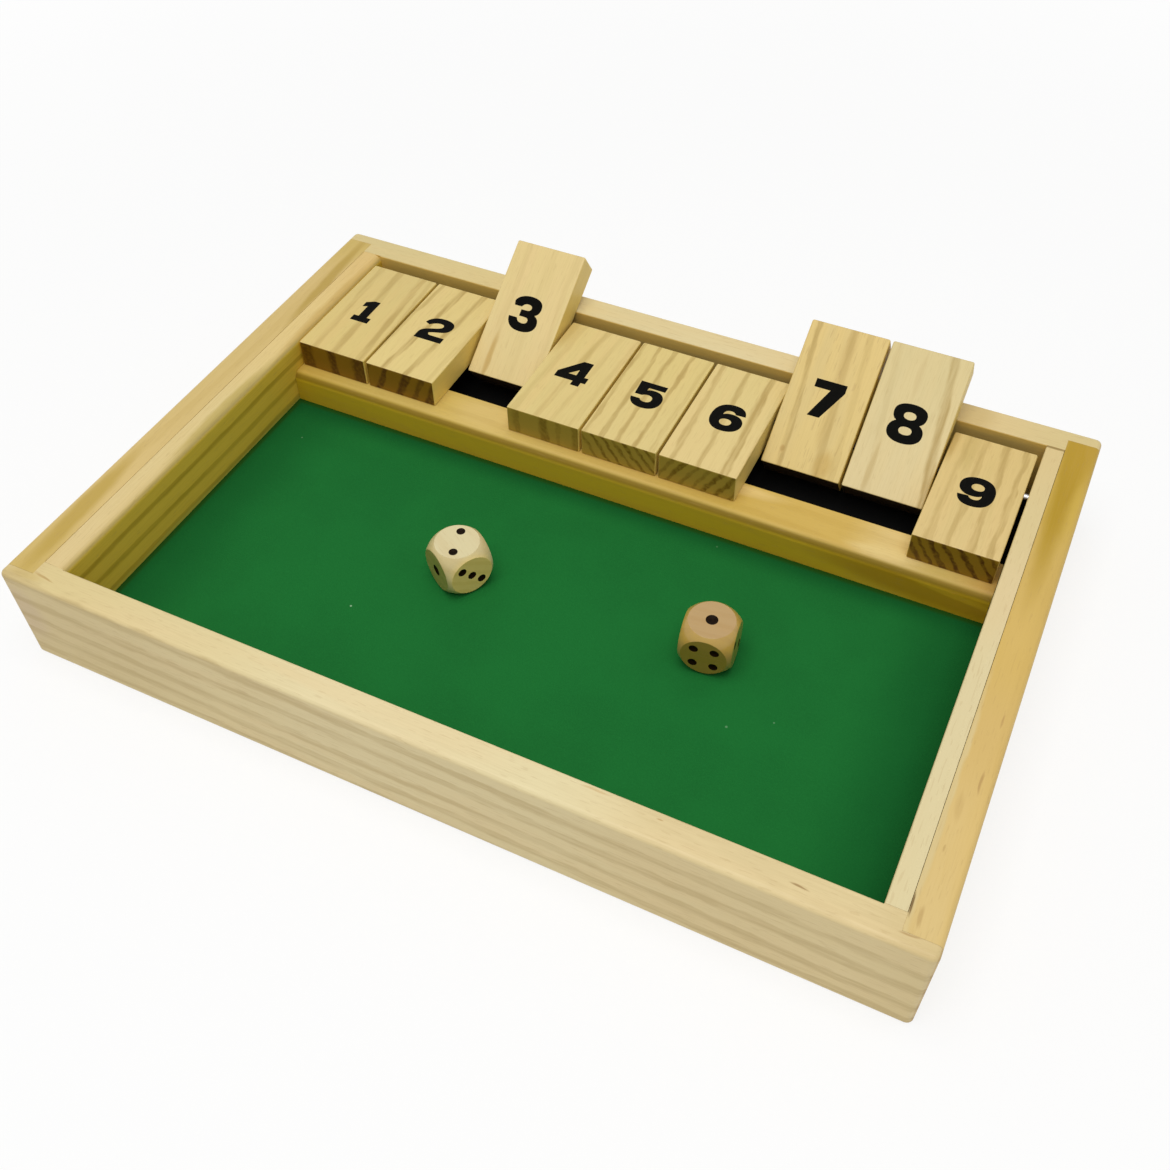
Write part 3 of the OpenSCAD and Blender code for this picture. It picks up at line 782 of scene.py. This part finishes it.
# outlines of the digits in tenths of a millimetre about the middle, lines L and curves C
six = ["M 54 26 L 20 24 C 18 31 11 36 1 36 C -12 36 -19 27 -19 12 C -11 19 -1 22 12 22 C 38 22 57 6 57 -20 "
       "C 57 -49 35 -66 1 -66 C -34 -66 -56 -44 -56 -2 C -56 44 -34 67 4 67 C 33 67 50 54 54 26 Z",
       "M 1 -6 C -11 -6 -19 -12 -19 -21 C -19 -31 -11 -38 1 -38 C 13 -38 21 -31 21 -21 C 21 -12 13 -6 1 -6 Z"]
digitOutlines = {
    1: ["M -35 -62 L 35 -62 L 35 -34 L 17 -34 L 17 62 L -6 62 L -34 46 L -34 20 L -16 27 L -16 -34 L "
        "-35 -34 Z"],
    2: ["M -54 -62 L 52 -62 L 52 -34 L -8 -34 C -13 -31 -16 -28 -17 -23 C -6 -15 14 -11 30 -5 C 46 1 "
        "53 13 53 30 C 53 53 32 65 2 65 C -30 65 -50 52 -56 27 L -37 19 C -28 28 -15 37 0 37 C 12 37 "
        "17 32 17 24 C 17 15 5 10 -10 4 C -32 -4 -54 -12 -54 -34 L -54 -62 Z"],
    3: ["M -54 22 L -58 38 C -50 56 -28 65 -2 65 C 30 65 48 52 48 31 C 48 15 42 6 31 1 C 43 -4 51 -14 "
        "51 -30 C 51 -53 30 -66 -3 -66 C -36 -66 -58 -52 -61 -20 L -29 -20 C -26 -31 -17 -36 -3 -36 C "
        "7 -36 13 -31 13 -24 C 13 -16 7 -12 -5 -12 L -24 -12 L -24 12 L -6 12 C 6 12 12 16 12 24 C 12 "
        "31 6 35 -4 35 C -15 35 -22 31 -26 22 Z"],
    4: ["M 8 -63 L 38 -63 L 38 -42 L 54 -42 L 54 -13 L 38 -13 L 38 64 L 2 64 L -62 -12 L -62 -42 L 8 "
        "-42 Z",
        "M 7 -12 L 7 18 L -22 -12 Z"],
    5: ["M 42 62 L -54 62 L -50 -6 L -24 -6 C -19 -1 -12 1 -3 1 C 9 1 16 -6 16 -17 C 16 -28 9 -35 -3 "
        "-35 C -14 -35 -21 -31 -24 -24 L -56 -24 C -52 -51 -33 -66 -3 -66 C 31 -66 51 -47 51 -17 C 51 "
        "12 34 29 8 29 C -2 29 -11 27 -17 22 L -16 36 L 42 36 Z"],
    6: six,
    7: ["M -51 63 L 52 63 L 52 36 L -2 -63 L -43 -63 L 4 34 L -51 34 Z"],
    8: ["M 0 66 C 34 66 54 54 54 33 C 54 18 48 8 37 3 C 50 -3 57 -14 57 -29 C 57 -53 34 -67 0 -67 C "
        "-34 -67 -58 -53 -58 -29 C -58 -14 -51 -3 -38 3 C -49 8 -54 18 -54 33 C -54 54 -34 66 0 66 Z",
        "M 0 39 C -12 39 -20 34 -20 26 C -20 18 -12 13 0 13 C 12 13 20 18 20 26 C 20 34 12 39 0 39 Z",
        "M 0 -11 C -13 -11 -21 -16 -21 -24 C -21 -33 -13 -38 0 -38 C 13 -38 21 -33 21 -24 C 21 -16 13 "
        "-11 0 -11 Z"],
    9: six,
}
digitSpots = {1: (-0.6, -0.4), 2: (-0.3, 0.6), 3: (0, 0), 4: (0, 0.2), 5: (0, -0.3), 6: (0.1, 0.3),
              7: (0.1, 0.1), 8: (-0.1, 0), 9: (-0.1, 0.4)}
digitThickness = 0.04  # above the face, and as much below it

paint = newRecipe("digit_ink")
grain = paint.noise(paint.objectPlace(), (0.5, 4, 0.5), 6, 2)
ink = paint.finish(paint.node("BsdfPrincipled", {}, {
    "Base Color": paint.mix(paint.steps(grain, 0.35, 0.8), rgb(7, 7, 5), rgb(16, 15, 12)),
    "Roughness": grain * 0.2 + 0.5, "Specular IOR Level": 0.03, "Normal": paint.bump(grain, 0.00004, 0.3)}))


def addOutline(curve, path, size, sign):
    # one closed outline of lines and curves, as a drawing program writes it
    knots, words = [], iter(path.split())
    for word in words:
        if word == "Z":
            continue
        numbers = [float(next(words)) * size * sign for _ in range(6 if word == "C" else 2)]
        spots = [Vector((across, up, 0)) for across, up in zip(numbers[::2], numbers[1::2])]
        if word == "C":
            knots[-1][2] = spots[0]
        knots.append([spots[-1], spots[1] if word == "C" else spots[-1], spots[-1]])
    if (knots[0][0] - knots[-1][0]).length < tolerance["vertex"]:
        knots[0][1] = knots.pop()[1]
    spline = curve.splines.new("BEZIER")
    spline.bezier_points.add(len(knots) - 1)
    spline.use_cyclic_u = True
    for point, (spot, before, after) in zip(spline.bezier_points, knots):
        point.handle_left_type = point.handle_right_type = "FREE"
        point.co, point.handle_left, point.handle_right = spot, before, after


def digitMesh(number):
    # the digit about the origin, facing up
    curve = bpy.data.curves.new("digit", "CURVE")
    curve.dimensions, curve.fill_mode, curve.resolution_u = "2D", "BOTH", 10
    curve.extrude = digitThickness * mm
    for path in digitOutlines[number]:
        addOutline(curve, path, 0.1 * mm, -1 if number == 9 else 1)
    drawn = putInScene("digit", curve)
    mesh = finalMesh(drawn)
    bpy.data.objects.remove(drawn)
    return mesh


def placedRings(rings, tilt, height, ahead):
    # from places across the face at that height to woodMaterial's distances across the rings
    return [(spot * math.cos(tilt) + height * math.sin(tilt) + ahead, strength, width * math.cos(tilt))
            for spot, strength, width in rings]


def printDigits(node, number, middle, flatToRest):
    digits = bmesh.new()
    across, along = digitSpots[number]
    for up in (1, -1):
        printed = digitMesh(number)
        face = Matrix.Translation(middle + Vector((across * mm, up * along * mm, up * tileSize.z / 2)))
        if up < 0:
            face = face @ Matrix.Rotation(math.pi, 4, "X")
        printed.transform(flatToRest @ face)
        digits.from_mesh(printed)
    stamped = addObject(node + "_digits", digits, ink)
    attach(stamped, node)


def makeTile(number, look):
    node = f"tile_{number}"
    pivot = Vector(joints[node]["pos_m"])
    # a raised tile turns back by this much to lie flat
    turned = math.radians(min(joints[node]["range_deg"]))
    start = pivot - pivotInTile
    flatToRest = Matrix.Translation(pivot) @ Matrix.Rotation(turned, 4, "X") @ Matrix.Translation(-pivot)
    # grain frame: x from the back end to the nose, y from the left side, z up
    grainTurn = Matrix.Rotation(turned, 3, "X") @ Matrix.Rotation(-math.pi / 2, 3, "Z")
    backCorner = flatToRest @ (start + Vector((0, tileSize.y, 0)))
    seenHeight = 0.0 if turned else tileSize.z / mm
    tilt = math.radians(look["tilt"])
    look = {**tileBasics, **look, "rings": placedRings(look["rings"], tilt, seenHeight, 0),
            "seed": 100 + 9 * number}
    noseDrift = look.get("drift", 0) * tileSize.y / mm
    look["endRings"] = placedRings(look["endRings"], tilt, seenHeight, noseDrift)
    board = {"start": backCorner, "turn": grainTurn, "size": tileSize.yxz / mm}
    material = woodMaterial(node + "_wood", look, board)
    shape = boxMesh(start, start + tileSize)
    roundEdges(shape, tileEdges["corner"], 4, lambda m, way: runs(way, "z"))
    roundEdges(shape, tileEdges["edge"], 4,
               lambda m, way: near(m.z, start.z) or near(m.z, start.z + tileSize.z))
    block = addObject(node + "_block", shape, material)
    carve(block, [rodCutter(rodRadius + tileEdges["bore"] * mm)])
    block.data.transform(flatToRest)
    smoothFaces(block)
    dressBoard(block, node, "tile_wood", node)
    printDigits(node, number, start + tileSize / 2, flatToRest)


for number, look in tileLooks.items():
    makeTile(number, look)
print("tiles made")


# dice

# on the dice the side colour on the faces that look against y is painted shade, the nose colour on the
# rounded rims painted light and shade, and the end colours on the faces along x are end grain, on the cream
# die also a painted light
diceLooks = {
    "cream_die": {"faces": (2, 5, 1, 6, 4, 3), "turn": -31, "slot": "cream_wood", "wood": {
        "tones": [(0, (218, 205, 158))], "warm": (215, 194, 144), "late": (200, 176, 122), "depth": 0.4,
        "side": (148, 140, 52), "sideShadeShare": 0.9, "sideShadeFacing": (0.58, 1.0), "sideShadeSign": -1,
        "nose": ((212, 184, 112), 0.4), "coat": 0.35,
        "rings": [(1, 0.5, 2), (4.5, 0.6, 2), (8, 0.5, 2), (12, 0.6, 2), (15.5, 0.5, 2)], "tilt": 60,
        "end": (242, 212, 128), "endLate": (228, 198, 108), "wave": 0.4, "seed": 211, "rough": 0.4}},
    "tan_die": {"faces": (1, 6, 4, 3, 5, 2), "turn": 7, "slot": "tan_wood", "wood": {
        "tones": [(0, (184, 150, 94))], "warm": (182, 144, 84), "late": (168, 130, 66), "depth": 0.4,
        "side": (146, 122, 36), "sideShadeShare": 0.92, "sideShadeFacing": (0.5, 1.0), "sideShadeSign": -1,
        "nose": ((196, 158, 52), 0.62), "coat": 0.8,
        "rings": [(1, 0.5, 2), (4.5, 0.7, 2), (8, 0.5, 2), (12, 0.6, 2), (15.5, 0.5, 2)], "tilt": 20,
        "end": (176, 150, 62), "endLate": (156, 124, 50), "wave": 0.5, "seed": 223, "rough": 0.38}},
}
# radii, step and depth in millimetres
dieShape = {"ball": 10.6, "rim": 1.5, "pipStep": 3.1, "pip": 1.4, "ace": 1.85, "depth": 0.5}

paint = newRecipe("pip_paint")
grain = paint.noise(paint.objectPlace(), (0.6, 0.6, 0.6), 8, 2)
pipPaint = paint.finish(paint.node("BsdfPrincipled", {}, {
    "Base Color": paint.mix(paint.steps(grain, 0.3, 0.7), rgb(17, 8, 1), rgb(30, 16, 4)),
    "Roughness": grain * 0.15 + 0.4, "Specular IOR Level": 0.05, "Normal": paint.bump(grain, 0.00005, 0.3)}))


def pipSpots(number):
    spots = [(0, 0)] if number % 2 else []
    spots += [(-1, 1), (1, -1)] if number > 1 else []
    spots += [(1, 1), (-1, -1)] if number > 3 else []
    spots += [(-1, 0), (1, 0)] if number > 5 else []
    return spots


# top, bottom, front, back, left, right
faceTurns = [Matrix.Identity(4), Matrix.Rotation(math.pi, 4, "X"), Matrix.Rotation(math.pi / 2, 4, "X")]
faceTurns += [Matrix.Rotation(quarter * math.pi / 2, 4, "Z") @ faceTurns[2] for quarter in (2, -1, 1)]


def makeDie(node, look):
    low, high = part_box(node)
    centre, half = (low + high) / 2, (high.z - low.z) / 2
    shape = bmesh.new()
    bmesh.ops.create_uvsphere(shape, u_segments=96, v_segments=64, radius=dieShape["ball"] * mm)
    for turn in faceTurns:
        out = (turn @ Vector((0, 0, 1, 0))).xyz
        cut = cutPlane(shape, out * half, out, clear=True)
        rim = [part for part in cut["geom_cut"] if isinstance(part, bmesh.types.BMEdge)]
        bmesh.ops.contextual_create(shape, geom=rim)
    roundEdges(shape, dieShape["rim"], 5, lambda m, way: any(near(abs(value), half) for value in m))
    die = addObject(node + "_body", shape)
    cutters = []
    step, deep = dieShape["pipStep"] * mm, dieShape["depth"] * mm
    for turn, number in zip(faceTurns, look["faces"]):
        wide = dieShape["ace" if number == 1 else "pip"] * mm
        ball = (wide * wide + deep * deep) / (2 * deep)
        for across, up in pipSpots(number):
            cutter = bmesh.new()
            bmesh.ops.create_uvsphere(cutter, u_segments=40, v_segments=24, radius=ball)
            spot = Vector((across * step, up * step, half + ball - deep))
            bmesh.ops.translate(cutter, vec=spot, verts=cutter.verts)
            bmesh.ops.transform(cutter, matrix=turn, verts=cutter.verts)
            cutters.append(addObject("cutter", cutter, pipPaint))
    rest = Matrix.Translation(centre) @ Matrix.Rotation(math.radians(look["turn"]), 4, "Z")
    corner = Vector((half, half, half))
    board = {"start": rest @ -corner, "turn": rest.to_3x3(), "size": corner * 2 / mm}
    die.data.materials.append(woodMaterial(node + "_finish", look["wood"], board))
    die.data.materials.append(pipPaint)
    carve(die, cutters)
    die.data.transform(rest)
    smoothFaces(die)
    dressBoard(die, node, look["slot"], node)


for node, look in diceLooks.items():
    makeDie(node, look)
print("dice made")


# floor, light and camera

studio = {
    "floor": (248, 248, 247), "floorGlow": 0.75, "floorSize": 6.0, "floorDrop": 0.0002, "fade": (0.25, 0.7),
    "sky": 0.45, "lampPower": 19.0, "lampSize": 1.3, "lampPlace": (0.05, -0.35, 1.7),
}


def backdropRays(paint):
    # what the camera, mirrors and glass look at
    rays = paint.node("LightPath").socket.node.outputs
    wires = [Wire(paint, rays[name]) for name in ("Is Camera Ray", "Is Glossy Ray", "Is Transmission Ray")]
    return wires[0].math("MAXIMUM", wires[1]).math("MAXIMUM", wires[2])


paint = newRecipe("floor_white")
matte = paint.node("BsdfDiffuse", {}, {"Color": rgb(*studio["floor"])})
glow = paint.node("Emission", {}, {"Color": white, "Strength": 1.0})
# shadows show near the object, and the floor fades into the white background further out
distance = paint.node("VectorMath", {"operation": "LENGTH"}, {0: paint.node("TexCoord", output="Object")},
                      "Value")
share = paint.steps(distance, *studio["fade"]) * (1 - studio["floorGlow"]) + studio["floorGlow"]
floorWhite = paint.finish(paint.node("MixShader", {}, {0: backdropRays(paint) * share, 1: matte, 2: glow}))
shape = bmesh.new()
bmesh.ops.create_grid(shape, x_segments=1, y_segments=1, size=studio["floorSize"])
bmesh.ops.translate(shape, vec=(0, 0, -studio["floorDrop"]), verts=shape.verts)
floor = addObject("floor", shape, floorWhite)

world = bpy.data.worlds.new("studio")
bpy.context.scene.world = world
paint = Recipe(world)
dim = paint.node("Background", {}, {"Color": white, "Strength": studio["sky"]})
bright = paint.node("Background", {}, {"Color": white, "Strength": 1.0})
sky = paint.node("MixShader", {}, {0: backdropRays(paint), 1: dim, 2: bright})
paint.node("OutputWorld", {}, {"Surface": sky}, None)

lamp = bpy.data.lights.new("softbox", "AREA")
lamp.energy, lamp.size = studio["lampPower"], studio["lampSize"]
softbox = putInScene("softbox", lamp)
softbox.location = studio["lampPlace"]
softbox.rotation_euler = (-Vector(studio["lampPlace"])).to_track_quat("-Z", "Y").to_euler()

view = {"place": (0.12455, -0.24320, 0.30717), "turn": (41.3115, 0.7327, 25.7797), "lens": 38.70}
lens = bpy.data.cameras.new("camera")
lens.lens, lens.sensor_width = view["lens"], 36.0
lens.clip_start, lens.clip_end = 0.01, 50
camera = putInScene("camera", lens)
camera.location = view["place"]
camera.rotation_euler = [math.radians(angle) for angle in view["turn"]]
bpy.context.scene.camera = camera
bpy.context.scene.view_settings.view_transform = "Standard"
print("studio made")
